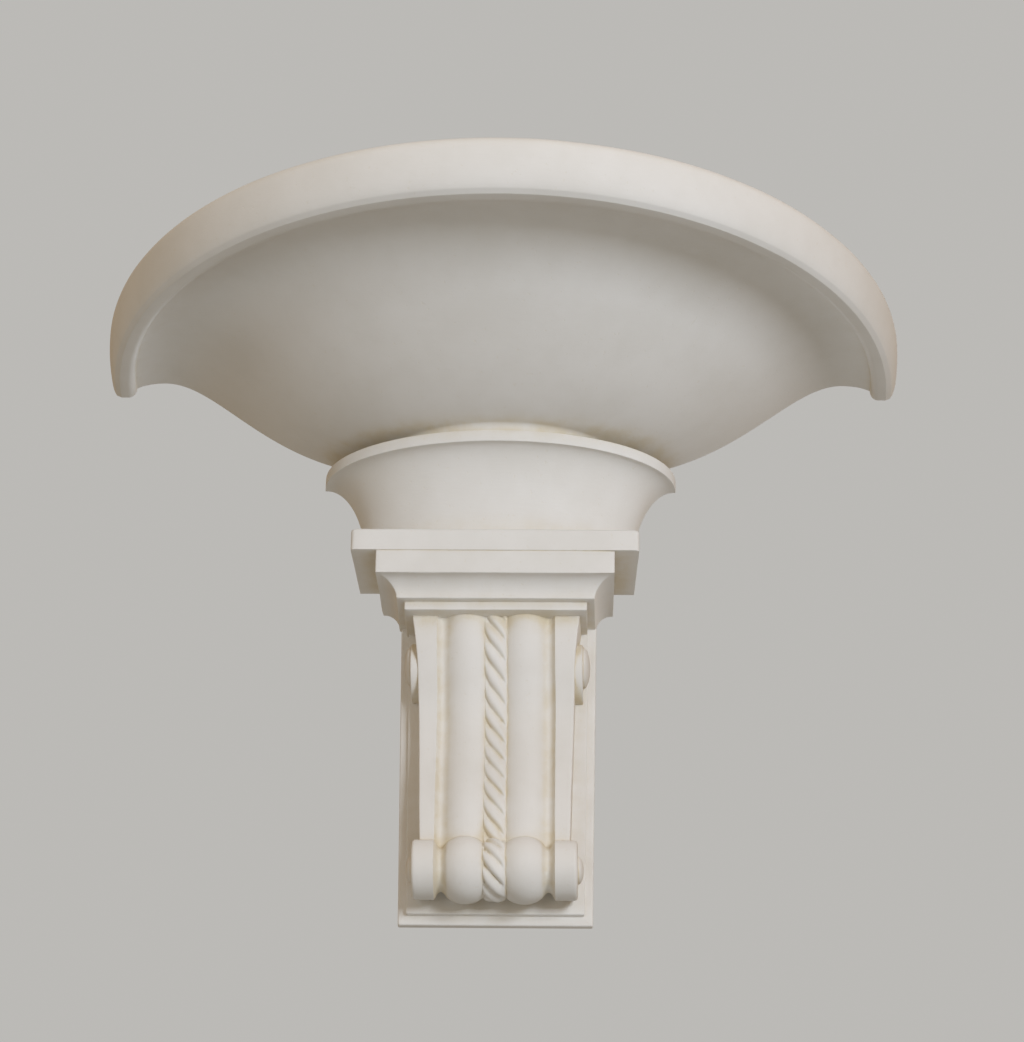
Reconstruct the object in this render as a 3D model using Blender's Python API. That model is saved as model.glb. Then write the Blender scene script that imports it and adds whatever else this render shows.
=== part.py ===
# Plaster wall bracket: a half-round bowl on a collar, a slab and a scrolled corbel.
# Metres, +Z up. The wall is the plane y = 0 and the bracket stands out from it towards -Y.
# The origin is the middle of the corbel's back plate, on the wall.

import math

import bmesh
import bpy
from mathutils import Vector

# Joints between the cast pieces
SEAM = 0.0003
WELD = 0.000001

# Corbel: back plate and its raised panel
PLATE_WIDTH = 0.1462
PLATE_FOOT_WIDTH = 0.1414
PLATE_HEIGHT = 0.2408
PLATE_DEPTH = 0.0050
PLATE_ROUND = 0.0014
PANEL_MARGIN = 0.0060
PANEL_FOOT_MARGIN = 0.0072
PANEL_RISE = 0.0040

# Corbel: cornice of fillet, hollow moulding and fascia
FASCIA_WIDTH = 0.1772
FASCIA_DEPTH = 0.0706
FASCIA_HEIGHT = 0.0182
HOLLOW_HEIGHT = 0.0136
HOLLOW_RUN = 0.0141
HOLLOW_STEP = 0.0010
FILLET_HEIGHT = 0.0066
FILLET_INSET = 0.0058
CORNICE_DRAW = 0.0023

# Corbel: shaft, as depths of its rib crests from the wall and heights below the cornice
SHAFT_HEAD_WIDTH = 0.1244
SHAFT_NECK_WIDTH = 0.1162
SHAFT_FOOT_WIDTH = 0.1092
FLARE_HEIGHT = 0.0400
FLARE_CURVE = 1.5
HEAD_DEPTH = 0.0430
WAIST_DEPTH = 0.0335
FOOT_DEPTH = 0.0420
HEAD_DROP = 0.0142
WAIST_DROP = 0.1062
FOOT_DROP = 0.1802

# Corbel: relief across the shaft, measured from the flat side bands
ROPE_WIDTH = 0.0164
ROPE_RISE = 0.0014
ROPE_BED = 0.0023
STRAND_PITCH = 0.0166
STRAND_GROOVE = 0.0019
STRAND_SLANT = 1.10
STRAND_SWEEP = 0.3
STRAND_CURVE = 0.6
STRAND_START_DROP = 0.0178
RIB_CENTRE = 0.0214
RIB_RADIUS = 0.0205
RIB_WIDTH = 0.0260
RIB_RISE = 0.0030
COVE_CENTRE = 0.0390
COVE_DEPTH = 0.0058
BEVEL_FOOT = 0.0415
BEVEL_FOOT_DEPTH = 0.0042
BAND_INNER = 0.0438

# Corbel: roll at the foot, volutes at the head
ROLL_RADIUS = 0.0218
ROLL_WIDTH = 0.1202
ROLL_DEPTH = 0.0300
ROLL_DROP = 0.2017
ROLL_EDGE = 0.0020
ROLL_BOSS_RADIUS = 0.0094
ROLL_BOSS_RISE = 0.0040
VOLUTE_RADIUS = 0.0207
VOLUTE_WIDTH = 0.1276
VOLUTE_DEPTH = 0.0165
VOLUTE_DROP = 0.0407
VOLUTE_EDGE = 0.0012
EYE_RADIUS = 0.0150
EYE_RISE = 0.0047

# Slab between cornice and collar
SLAB_WIDTH = 0.2128
SLAB_DEPTH = 0.0716
SLAB_HEIGHT = 0.0183
SLAB_ROUND = 0.0024
SLAB_DRAW = 0.0038

# Collar: half-oval in plan, a thin lip over a deep hollow
COLLAR_WIDTH = 0.2652
COLLAR_DEPTH = 0.0801
COLLAR_HEIGHT = 0.0789
COLLAR_LIP = 0.0094
COLLAR_SOFFIT = 0.0014
COLLAR_HOLLOW_RUN = 0.0316
COLLAR_FRONT_RUN = 0.85

# Bowl: half-round in plan at the rim, a little flatter at the foot
BOWL_WIDTH = 0.6096
BOWL_HEIGHT = 0.1208
BOWL_WALL = 0.0160
BOWL_FLOOR = 0.0210
BOWL_BACK = 0.0140
RIM_HEIGHT = 0.0482
RIM_TOP_ROUND = 0.0158
RIM_BULGE = 0.0088
RIM_THICKNESS = 0.0259
RIM_INNER_DROP = 0.0055
LIP_FLAT = 0.0065
LIP_RISE = 0.0091
LIP_RUN = 0.0080
LIP_NOSE = 0.0020
COVE_CREST_INSET = 0.0428
COVE_CREST_RISE = 0.0127
COVE_TURN = 45.0
FOOT_WIDTH = 0.1960
FOOT_DEPTH_SHARE = 0.805
FOOT_HOLLOW = 0.0055
BELLY_START_PULL = 0.0826
BELLY_START_SLOPE = 9.5
BELLY_END_PULL = 0.0400

# Fineness of the curved pieces
BOWL_STEPS = 32
COLLAR_STEPS = 24
SHAFT_ROWS = 18
ROLL_STEPS = 26
VOLUTE_STEPS = 20
ROPE_COLUMNS = 8
RIB_COLUMNS = 6
COVE_COLUMNS = 3
ROWS_PER_STRAND = 5

PLASTER = (0.80, 0.77, 0.72)
PLASTER_SHADES = {"corbel": 1.0, "slab": 0.99, "collar": 0.98, "half_bowl": 0.97}

# Heights that follow from the sizes above
plate_top = PLATE_HEIGHT / 2
cornice_soffit = plate_top - FILLET_HEIGHT
hollow_top = plate_top + HOLLOW_HEIGHT
fascia_top = hollow_top + FASCIA_HEIGHT
slab_base = fascia_top + SEAM
collar_base = slab_base + SLAB_HEIGHT + SEAM
bowl_base = collar_base + COLLAR_HEIGHT + SEAM
panel_depth = PLATE_DEPTH + PANEL_RISE
bowl_half = BOWL_WIDTH / 2
collar_half = COLLAR_WIDTH / 2


def clear_scene():
    for item in list(bpy.data.objects):
        bpy.data.objects.remove(item, do_unlink=True)


def ease(share):
    return (1 - math.cos(math.pi * min(max(share, 0.0), 1.0))) / 2


def elliptic_arc(centre, radii, start, end, steps):
    """Points on an ellipse, from one angle to another in degrees."""
    points = []
    for step in range(steps + 1):
        angle = math.radians(start + (end - start) * step / steps)
        points.append((centre[0] + radii[0] * math.cos(angle), centre[1] + radii[1] * math.sin(angle)))
    return points


def bezier(start, start_pull, end_pull, end, steps):
    points = []
    for step in range(steps + 1):
        t = step / steps
        weights = ((1 - t) ** 3, 3 * t * (1 - t) ** 2, 3 * t * t * (1 - t), t ** 3)
        corners = (start, start_pull, end_pull, end)
        points.append(tuple(sum(w * c[axis] for w, c in zip(weights, corners)) for axis in (0, 1)))
    return points


def plaster(name):
    shade = PLASTER_SHADES[name]
    material = bpy.data.materials.new(name + "_plaster")
    material.use_nodes = True
    shader = material.node_tree.nodes["Principled BSDF"]
    shader.inputs["Base Color"].default_value = (*(shade * part for part in PLASTER), 1.0)
    shader.inputs["Roughness"].default_value = 0.85
    shader.inputs["Metallic"].default_value = 0.0
    return material


def add_object(name, bm, sharp_angle=35.0):
    bmesh.ops.recalc_face_normals(bm, faces=bm.faces[:])
    mesh = bpy.data.meshes.new(name)
    bm.to_mesh(mesh)
    bm.free()
    mesh.shade_smooth()
    mesh.set_sharp_from_angle(angle=math.radians(sharp_angle))
    item = bpy.data.objects.new(name, mesh)
    bpy.context.scene.collection.objects.link(item)
    return item


def combine(target, tool, operation):
    """Joins a shape to a piece, or cuts it away, and keeps the shape as a hidden guide."""
    change = target.modifiers.new(tool.name, "BOOLEAN")
    change.operation = operation
    change.solver = "EXACT"
    change.object = tool
    tool.hide_render = True
    tool.display_type = "WIRE"


def box(low, high, rounding=0.0, keep_square=None, foot_share=1.0):
    """A block between two corners, narrowed to a share at its foot, its edges rounded but for some."""
    bm = bmesh.new()
    bmesh.ops.create_cube(bm, size=1.0)
    low = Vector(low)
    high = Vector(high)
    middle = (low + high) / 2
    for vert in bm.verts:
        vert.co = middle + Vector(part * span for part, span in zip(vert.co, high - low))
        if vert.co.z < middle.z:
            vert.co.x *= foot_share
    if rounding:
        edges = [edge for edge in bm.edges if not (keep_square and keep_square(edge))]
        bmesh.ops.bevel(bm, geom=edges, offset=rounding, segments=3, profile=0.5, affect="EDGES", material=-1)
    return bm


def half_turned(profile, plan_depth, steps):
    """Spins a profile of (half width, height) round the wall side and closes it flat on the wall."""
    bm = bmesh.new()
    verts = [bm.verts.new((half_width, 0.0, height)) for half_width, height in profile]
    edges = [bm.edges.new(pair) for pair in zip(verts, verts[1:])]
    bmesh.ops.spin(bm, geom=verts + edges, cent=(0, 0, 0), axis=(0, 0, 1), angle=-math.pi, steps=steps)
    bmesh.ops.remove_doubles(bm, verts=bm.verts[:], dist=WELD)
    for vert in bm.verts:
        half_width = math.hypot(vert.co.x, vert.co.y)
        if half_width > WELD:
            vert.co.y *= plan_depth(half_width) / half_width
    bmesh.ops.contextual_create(bm, geom=[edge for edge in bm.edges if edge.is_boundary])
    return bm


def relief_panel(columns, rows, place, back):
    """A grid of columns by rows, each point set by place(column, row), closed flat at the back."""
    bm = bmesh.new()
    bmesh.ops.create_grid(bm, x_segments=columns - 1, y_segments=rows - 1, size=0.5)
    for vert in bm.verts:
        column = round((vert.co.x + 0.5) * (columns - 1))
        row = round((0.5 - vert.co.y) * (rows - 1))
        vert.co = place(column, row)
    lifted = bmesh.ops.extrude_face_region(bm, geom=bm.faces[:], use_keep_orig=True)["geom"]
    for vert in lifted:
        if isinstance(vert, bmesh.types.BMVert):
            vert.co.y = -back
    return bm


def rib_depth(drop):
    """Depth of the rib crests from the wall, at a drop below the cornice: out, in and out again."""
    if drop < WAIST_DROP:
        return HEAD_DEPTH + (WAIST_DEPTH - HEAD_DEPTH) * ease((drop - HEAD_DROP) / (WAIST_DROP - HEAD_DROP))
    return WAIST_DEPTH + (FOOT_DEPTH - WAIST_DEPTH) * ease((drop - WAIST_DROP) / (FOOT_DROP - WAIST_DROP))


def band_depth(drop):
    return rib_depth(drop) - RIB_RISE


def shaft_half_width(drop):
    taper = (SHAFT_NECK_WIDTH - SHAFT_FOOT_WIDTH) / (FOOT_DROP - FLARE_HEIGHT)
    plain = SHAFT_NECK_WIDTH - taper * (drop - FLARE_HEIGHT)
    flare = SHAFT_HEAD_WIDTH - (SHAFT_NECK_WIDTH + taper * FLARE_HEIGHT)
    share = min(max(1 - drop / FLARE_HEIGHT, 0.0), 1.0)
    return (plain + flare * share ** FLARE_CURVE) / 2


def relief(across):
    """Relief across the shaft without its rope: rib, cove, bevel and flat band."""
    across = abs(across)
    rib_edge = RIB_CENTRE + RIB_WIDTH / 2
    if across < RIB_CENTRE - RIB_WIDTH / 2:
        return -ROPE_BED
    if across < rib_edge:
        return RIB_RISE - RIB_RADIUS + math.sqrt(RIB_RADIUS ** 2 - (across - RIB_CENTRE) ** 2)
    if across < COVE_CENTRE:
        start = RIB_RISE - RIB_RADIUS + math.sqrt(RIB_RADIUS ** 2 - (RIB_WIDTH / 2) ** 2)
        share = (across - rib_edge) / (COVE_CENTRE - rib_edge)
        return start + (-COVE_DEPTH - start) * math.sin(share * math.pi / 2)
    if across < BEVEL_FOOT:
        share = (across - COVE_CENTRE) / (BEVEL_FOOT - COVE_CENTRE)
        return -COVE_DEPTH + (COVE_DEPTH - BEVEL_FOOT_DEPTH) * (1 - math.cos(share * math.pi / 2))
    if across < BAND_INNER:
        return -BEVEL_FOOT_DEPTH * (BAND_INNER - across) / (BAND_INNER - BEVEL_FOOT)
    return 0.0


def rope_relief(across, run):
    """Relief of the twisted rope at a place across it and a run along it."""
    share = min(max(2 * across / ROPE_WIDTH, -1.0), 1.0)
    body = (ROPE_BED + ROPE_RISE) * math.sqrt(1 - share * share)
    straight = (share + 1) / 2
    swept = math.asin(share) / math.pi + 0.5
    slant = straight + (swept - straight) * STRAND_SWEEP
    turn = (run - STRAND_START_DROP) / STRAND_PITCH - slant * STRAND_SLANT
    strand = abs(math.sin(math.pi * turn)) ** STRAND_CURVE
    return -ROPE_BED + body - STRAND_GROOVE * (1 - strand) * (1 - share ** 4)


def half_columns():
    """Places across one half of the shaft, from the rope's edge to the flat band."""
    rib_start = RIB_CENTRE - RIB_WIDTH / 2
    rib = [rib_start + RIB_WIDTH * ease(step / RIB_COLUMNS) for step in range(RIB_COLUMNS + 1)]
    cove = [rib[-1] + (COVE_CENTRE - rib[-1]) * (step + 1) / COVE_COLUMNS for step in range(COVE_COLUMNS)]
    return rib + cove + [BEVEL_FOOT, BAND_INNER]


def rope_columns(count):
    return [ROPE_WIDTH / 2 * math.sin(math.pi * (step / count - 0.5)) for step in range(count + 1)]


def make_shaft():
    inner = half_columns()
    across = [-place for place in reversed(inner)] + inner
    columns = len(across) + 2
    top = -FILLET_HEIGHT / 2
    drops = [top + (ROLL_DROP - top) * row / (SHAFT_ROWS - 1) for row in range(SHAFT_ROWS)]

    def place(column, row):
        drop = drops[row]
        if column == 0:
            x = -shaft_half_width(drop)
        elif column == columns - 1:
            x = shaft_half_width(drop)
        else:
            x = across[column - 1]
        return Vector((x, -(band_depth(drop) + relief(x)), cornice_soffit - drop))

    return add_object("shaft", relief_panel(columns, SHAFT_ROWS, place, panel_depth - PANEL_RISE / 2))


def make_rope():
    across = rope_columns(ROPE_COLUMNS)
    top = -FILLET_HEIGHT / 3
    rows = 1 + round((ROLL_DROP - top) / STRAND_PITCH * ROWS_PER_STRAND)

    def place(column, row):
        drop = top + (ROLL_DROP - top) * row / (rows - 1)
        x = across[column]
        return Vector((x, -(band_depth(drop) + rope_relief(x, drop)), cornice_soffit - drop))

    return add_object("rope", relief_panel(len(across), rows, place, WAIST_DEPTH / 2))


def disc_edge(half_width, radius, rounding):
    """The softened rim of a round face, as places across and radii."""
    return elliptic_arc((half_width - rounding, radius - rounding), (rounding, rounding), 90.0, 0.0, 3)


def turned_across(profile, steps):
    """Turns a profile of (place across, radius) round an axis that runs from side to side."""
    bm = bmesh.new()
    verts = [bm.verts.new((place, -radius, 0.0)) for place, radius in profile]
    edges = [bm.edges.new(pair) for pair in zip(verts, verts[1:])]
    bmesh.ops.spin(bm, geom=verts + edges, cent=(0, 0, 0), axis=(1, 0, 0), angle=2 * math.pi,
                   steps=steps, use_merge=True)
    bmesh.ops.remove_doubles(bm, verts=bm.verts[:], dist=WELD)
    return bm


def make_roll():
    """The roll under the shaft: the shaft's relief turned round a cross axis, rope, bosses and all."""
    half = ROLL_WIDTH / 2
    boss_face = half + ROLL_BOSS_RISE
    side = [(place, ROLL_RADIUS + relief(place)) for place in half_columns()]
    side += disc_edge(half, ROLL_RADIUS, ROLL_EDGE) + [(half, ROLL_BOSS_RADIUS)]
    side += disc_edge(boss_face, ROLL_BOSS_RADIUS, ROLL_EDGE / 2) + [(boss_face, 0.0)]
    middle = [(place, ROLL_RADIUS - ROPE_BED) for place in rope_columns(ROPE_COLUMNS)[1:-1]]
    profile = [(-place, radius) for place, radius in reversed(side)] + middle + side
    bm = turned_across(profile, ROLL_STEPS)
    for vert in bm.verts:
        if abs(vert.co.x) < ROPE_WIDTH / 2 - SEAM:
            around = math.atan2(-vert.co.z, -vert.co.y)
            run = ROLL_DROP + around * (ROLL_RADIUS + ROPE_RISE)
            reach = ROLL_RADIUS + rope_relief(vert.co.x, run)
            vert.co.y = -reach * math.cos(around)
            vert.co.z = -reach * math.sin(around)
    bmesh.ops.translate(bm, verts=bm.verts[:], vec=(0, -ROLL_DEPTH, cornice_soffit - ROLL_DROP))
    return add_object("roll", bm)


def make_volute(side):
    """The disc of a volute with its domed eye, on one side of the shaft's head."""
    start = (BAND_INNER + SHAFT_FOOT_WIDTH / 2) / 2
    half = VOLUTE_WIDTH / 2
    eye = elliptic_arc((half, 0.0), (EYE_RISE, EYE_RADIUS), 90.0, 0.0, 5)
    profile = [(start, 0.0), (start, VOLUTE_RADIUS)] + disc_edge(half, VOLUTE_RADIUS, VOLUTE_EDGE) + eye
    bm = turned_across([(side * place, radius) for place, radius in profile], VOLUTE_STEPS)
    bmesh.ops.translate(bm, verts=bm.verts[:], vec=(0, -VOLUTE_DEPTH, cornice_soffit - VOLUTE_DROP))
    return add_object("volute_right" if side > 0 else "volute_left", bm)


def make_cornice(wall_overlap):
    """Fillet, hollow and fascia, as level sections of (half width, depth, height) on three sides.

    The two returns draw in a little towards the wall.
    """
    hollow_foot = (FASCIA_WIDTH / 2 - HOLLOW_STEP - HOLLOW_RUN, FASCIA_DEPTH - HOLLOW_STEP - HOLLOW_RUN)
    fillet = (hollow_foot[0] - FILLET_INSET, hollow_foot[1] - FILLET_INSET)
    sections = [(*fillet, cornice_soffit), (*fillet, plate_top), (*hollow_foot, plate_top)]
    for run, height in elliptic_arc((HOLLOW_RUN, plate_top), (HOLLOW_RUN, HOLLOW_HEIGHT), 180.0, 90.0, 7)[1:]:
        sections.append((hollow_foot[0] + run, hollow_foot[1] + run, height))
    sections.append((FASCIA_WIDTH / 2, FASCIA_DEPTH, hollow_top))
    sections.append((FASCIA_WIDTH / 2, FASCIA_DEPTH, fascia_top))
    bm = bmesh.new()
    bmesh.ops.create_grid(bm, x_segments=1, y_segments=1, size=1.0)
    top_face = next(iter(bm.faces))
    for section, (half_width, depth, height) in enumerate(sections):
        if section:
            top_face = bmesh.ops.extrude_discrete_faces(bm, faces=[top_face])["faces"][0]
        for vert in top_face.verts:
            at_wall = vert.co.y > 0
            x = math.copysign(half_width - (CORNICE_DRAW if at_wall else 0.0), vert.co.x)
            vert.co = (x, wall_overlap if at_wall else -depth, height)
    bmesh.ops.contextual_create(bm, geom=[edge for edge in bm.edges if edge.is_boundary])
    return add_object("cornice", bm, 20.0)


def make_corbel():
    wall_overlap = PLATE_DEPTH
    half = PLATE_WIDTH / 2
    foot = -plate_top
    tuck = FILLET_HEIGHT / 4

    def at_wall(edge):
        return all(vert.co.y > 0 for vert in edge.verts)

    plate = box((-half, -PLATE_DEPTH, foot), (half, wall_overlap, plate_top + tuck), PLATE_ROUND, at_wall,
                PLATE_FOOT_WIDTH / PLATE_WIDTH)
    corbel = add_object("corbel", plate)
    corbel.data.materials.append(plaster("corbel"))
    panel = box((PANEL_MARGIN - half, -panel_depth, foot + PANEL_FOOT_MARGIN),
                (half - PANEL_MARGIN, wall_overlap / 2, cornice_soffit + tuck), PLATE_ROUND / 2, at_wall,
                (PLATE_FOOT_WIDTH / 2 - PANEL_MARGIN) / (half - PANEL_MARGIN))
    shapes = [
        add_object("panel", panel),
        make_cornice(wall_overlap + PLATE_ROUND),
        make_shaft(),
        make_rope(),
        make_roll(),
        make_volute(-1),
        make_volute(1),
    ]
    for shape in shapes:
        combine(corbel, shape, "UNION")
    reach = FASCIA_WIDTH
    beyond_wall = box((-reach, 0.0, foot - reach), (reach, reach, fascia_top + reach))
    combine(corbel, add_object("beyond_wall", beyond_wall), "DIFFERENCE")


def make_slab():
    """A block that draws in towards the wall; its foot stays square on the fascia, for a fine joint."""
    half = SLAB_WIDTH / 2

    def at_wall_or_foot(edge):
        at_wall = all(vert.co.y > -SLAB_DEPTH / 2 for vert in edge.verts)
        return at_wall or all(vert.co.z < slab_base + SLAB_HEIGHT / 2 for vert in edge.verts)

    top = slab_base + SLAB_HEIGHT
    slab = box((-half, -SLAB_DEPTH, slab_base), (half, 0.0, top), SLAB_ROUND, at_wall_or_foot)
    for vert in slab.verts:
        if abs(vert.co.y) < WELD:
            vert.co.x = math.copysign(half - SLAB_DRAW, vert.co.x)
    add_object("slab", slab).data.materials.append(plaster("slab"))


def make_collar():
    lip_base = collar_base + COLLAR_HEIGHT - COLLAR_LIP
    top = collar_base + COLLAR_HEIGHT
    foot = collar_half - COLLAR_SOFFIT - COLLAR_HOLLOW_RUN
    hollow_radii = (COLLAR_HOLLOW_RUN, lip_base - collar_base)
    hollow = elliptic_arc((foot + COLLAR_HOLLOW_RUN, collar_base), hollow_radii, 180.0, 90.0, 10)
    edge = COLLAR_LIP / 8
    lip = [(collar_half - edge / 2, lip_base), (collar_half, lip_base + edge), (collar_half, top - edge)]
    profile = [(0.0, collar_base)] + hollow + lip + [(collar_half - edge, top), (0.0, top)]

    def plan_depth(half_width):
        return COLLAR_DEPTH - COLLAR_FRONT_RUN * (collar_half - half_width)

    collar = add_object("collar", half_turned(profile, plan_depth, COLLAR_STEPS))
    collar.data.materials.append(plaster("collar"))


def belly_curve(steps):
    """Underside of the bowl from the foot's hollow up to the crest of the cove under the rim."""
    start = (FOOT_WIDTH / 2 + FOOT_HOLLOW, bowl_base + FOOT_HOLLOW)
    lip_base = bowl_base + BOWL_HEIGHT - RIM_HEIGHT
    end = (bowl_half - COVE_CREST_INSET, lip_base + COVE_CREST_RISE)
    slope = math.radians(BELLY_START_SLOPE)
    run, rise = BELLY_START_PULL * math.cos(slope), BELLY_START_PULL * math.sin(slope)
    start_pull = (start[0] + run, start[1] + rise)
    return bezier(start, start_pull, (end[0] - BELLY_END_PULL, end[1]), end, steps)


def bowl_plan_depth(half_width):
    """Half-round at the rim, flattening evenly to the foot."""
    foot = FOOT_WIDTH / 2
    share = min(max((half_width - foot) / (bowl_half - foot), 0.0), 1.0)
    return half_width * (FOOT_DEPTH_SHARE + (1 - FOOT_DEPTH_SHARE) * share)


def make_bowl():
    lip_base = bowl_base + BOWL_HEIGHT - RIM_HEIGHT
    top = bowl_base + BOWL_HEIGHT
    widest = top - RIM_TOP_ROUND
    lip_outer = bowl_half - RIM_BULGE
    lip_inner = lip_outer - LIP_FLAT
    foot = elliptic_arc((FOOT_WIDTH / 2 + FOOT_HOLLOW, bowl_base), (FOOT_HOLLOW, FOOT_HOLLOW), 180.0, 90.0, 4)
    belly = belly_curve(12)
    crest = belly[-1]
    step = (lip_inner - LIP_RUN, lip_base + LIP_RISE)
    turn = math.radians(COVE_TURN)
    cove_radii = ((step[0] - crest[0]) / math.cos(turn), (crest[1] - step[1]) / (1 - math.sin(turn)))
    cove = elliptic_arc((crest[0], crest[1] - cove_radii[1]), cove_radii, 90.0, COVE_TURN, 4)
    nose = step[1] - LIP_NOSE / 2
    lip = elliptic_arc((lip_inner, nose), (LIP_RUN - LIP_NOSE, nose - lip_base), 180.0, 270.0, 4)
    face = elliptic_arc((lip_outer, widest), (RIM_BULGE, widest - lip_base), 270.0, 360.0, 6)
    crown = elliptic_arc((bowl_half - RIM_TOP_ROUND, widest), (RIM_TOP_ROUND, RIM_TOP_ROUND), 0.0, 90.0, 5)
    inner_edge = bowl_half - RIM_THICKNESS
    inner_top = top - RIM_INNER_DROP
    shoulder = elliptic_arc((bowl_half - RIM_TOP_ROUND, inner_top),
                            (RIM_THICKNESS - RIM_TOP_ROUND, RIM_INNER_DROP), 90.0, 180.0, 3)
    profile = [(0.0, bowl_base)] + foot + belly[1:] + cove[1:] + lip + face + crown[1:] + shoulder[1:]
    profile.append((0.0, inner_top))
    bowl = add_object("half_bowl", half_turned(profile, bowl_plan_depth, BOWL_STEPS))
    bowl.data.materials.append(plaster("half_bowl"))

    inside = []
    for before, here, after in zip(belly, belly[1:], belly[2:]):
        along = Vector((after[0] - before[0], after[1] - before[1])).normalized()
        inside.append((here[0] - along.y * BOWL_WALL, here[1] + along.x * BOWL_WALL))
    floor = bowl_base + BOWL_FLOOR
    inside = [point for point in inside if point[1] > floor + BOWL_WALL / 8]
    rise = elliptic_arc((inside[-1][0], inner_top), (inner_edge - inside[-1][0], inner_top - inside[-1][1]),
                        270.0, 360.0, 5)
    above = inner_top + RIM_HEIGHT
    cavity = [(0.0, floor), (FOOT_WIDTH / 2, floor)] + inside + rise[1:] + [(inner_edge, above), (0.0, above)]
    bm = half_turned(cavity, bowl_plan_depth, BOWL_STEPS)
    bmesh.ops.bisect_plane(bm, geom=bm.verts[:] + bm.edges[:] + bm.faces[:], plane_co=(0, -BOWL_BACK, 0),
                           plane_no=(0, 1, 0), clear_outer=True)
    bmesh.ops.contextual_create(bm, geom=[edge for edge in bm.edges if edge.is_boundary])
    combine(bowl, add_object("hollow", bm), "DIFFERENCE")


clear_scene()
make_corbel()
make_slab()
make_collar()
make_bowl()
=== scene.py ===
import math

import bmesh
import bpy
from mathutils import Matrix, Vector, noise


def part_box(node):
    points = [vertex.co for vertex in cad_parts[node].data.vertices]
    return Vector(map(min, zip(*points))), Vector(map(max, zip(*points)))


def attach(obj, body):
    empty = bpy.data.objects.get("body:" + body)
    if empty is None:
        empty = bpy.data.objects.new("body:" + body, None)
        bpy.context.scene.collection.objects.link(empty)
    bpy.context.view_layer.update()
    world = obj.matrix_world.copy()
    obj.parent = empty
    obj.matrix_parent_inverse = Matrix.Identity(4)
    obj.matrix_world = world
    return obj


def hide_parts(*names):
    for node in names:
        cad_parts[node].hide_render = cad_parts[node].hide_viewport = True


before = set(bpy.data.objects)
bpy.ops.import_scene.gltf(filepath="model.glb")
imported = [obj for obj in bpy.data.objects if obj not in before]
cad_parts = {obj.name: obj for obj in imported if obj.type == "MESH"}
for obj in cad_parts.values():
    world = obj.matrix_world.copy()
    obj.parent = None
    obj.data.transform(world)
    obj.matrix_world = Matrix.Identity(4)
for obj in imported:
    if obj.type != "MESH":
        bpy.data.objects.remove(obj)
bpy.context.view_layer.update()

# The wall plate of the corbel: a thin tapered plate with a raised panel on its face.
# Cast gypsum plaster, rubbed down by hand and painted off-white; bedded flat on the wall.
# Its back lies a hair in front of the cornice's, so that the two share no face.

mm = 0.001
weld = 0.001 * mm
plate_head_half = 73.1 * mm
plate_foot_half = 70.7 * mm
plate_depth = 5.0 * mm
plate_round = 1.3 * mm
panel_margin = 6.0 * mm
panel_foot_margin = 7.2 * mm
panel_rise = 4.0 * mm
fillet_height = 6.6 * mm
corbel_low, corbel_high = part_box("corbel")
plate_foot = corbel_low.z
plate_head = -plate_foot
soffit = plate_head - fillet_height

chalk_white = (0.790, 0.782, 0.774)
shell_grey = (0.725, 0.712, 0.690)
# Cream of paint gathered in the creases, also laid into creases and recesses as painted shade.
cream_paint_and_shade = (0.665, 0.575, 0.400)
cloud_size = 70 * mm
blotch_size = 17 * mm
stroke_size = 2.2 * mm
tooth_size = 0.9 * mm
pit_size = 3.2 * mm
# The crease reach, span and strength below set how far creases and recesses are tinted cream and darkened:
# partly paint gathered there, partly painted shade.
crease_reach = 28 * mm
wear_span = (0.36, 0.68)
crease_span = (0.04, 0.38)
patch_span = (0.33, 0.66)
pit_span = (0.70, 0.76)
most_wear = 0.55
most_cream_and_shade = 0.80
most_stain = 0.10
stroke_relief = 0.07
tooth_relief = 0.035
blotch_relief = 0.10
pit_relief = 0.05


class Reading:
    """One number that varies over a surface, with arithmetic that adds Math nodes."""

    def __init__(self, finish, socket):
        self.finish = finish
        self.socket = socket

    def _math(self, operation, first, second):
        node = self.finish.node("ShaderNodeMath", {"operation": operation}, {0: first, 1: second})
        return Reading(self.finish, node.outputs[0])

    def __add__(self, other):
        return self._math("ADD", self, other)

    def __radd__(self, other):
        return self._math("ADD", other, self)

    def __sub__(self, other):
        return self._math("SUBTRACT", self, other)

    def __rsub__(self, other):
        return self._math("SUBTRACT", other, self)

    def __mul__(self, other):
        return self._math("MULTIPLY", self, other)

    def __rmul__(self, other):
        return self._math("MULTIPLY", other, self)


class Finish:
    """A material in the making: adds nodes, sets them first, then feeds their sockets."""

    def __init__(self, name):
        self.material = bpy.data.materials.new(name)
        self.material.use_nodes = True
        self.tree = self.material.node_tree
        self.shader = self.tree.nodes["Principled BSDF"]

    def feed(self, socket, value):
        if isinstance(value, Reading):
            value = value.socket
        if isinstance(value, bpy.types.NodeSocket):
            self.tree.links.new(value, socket)
        else:
            socket.default_value = value

    def node(self, kind, settings, inputs):
        made = self.tree.nodes.new(kind)
        for setting, value in settings.items():
            setattr(made, setting, value)
        for name, value in inputs.items():
            self.feed(made.inputs[name], value)
        return made

    def reading(self, kind, settings, inputs, output):
        return Reading(self, self.node(kind, settings, inputs).outputs[output])

    def grain(self, place, size, detail, roughness=0.5):
        """Soft noise of one grain size, from about 0.25 to 0.75."""
        inputs = {"Vector": place, "Scale": 1.0 / size, "Detail": detail, "Roughness": roughness}
        return self.reading("ShaderNodeTexNoise", {}, inputs, "Fac")

    def rise(self, value, low, high):
        """0 below low, 1 above high, eased between them."""
        settings = {"interpolation_type": "SMOOTHSTEP"}
        inputs = {"Value": value, "From Min": low, "From Max": high}
        return self.reading("ShaderNodeMapRange", settings, inputs, "Result")

    def blend(self, share, first, second):
        settings = {"data_type": "RGBA"}
        made = self.node("ShaderNodeMix", settings, {0: share, 6: first, 7: second})
        return made.outputs[2]


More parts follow.
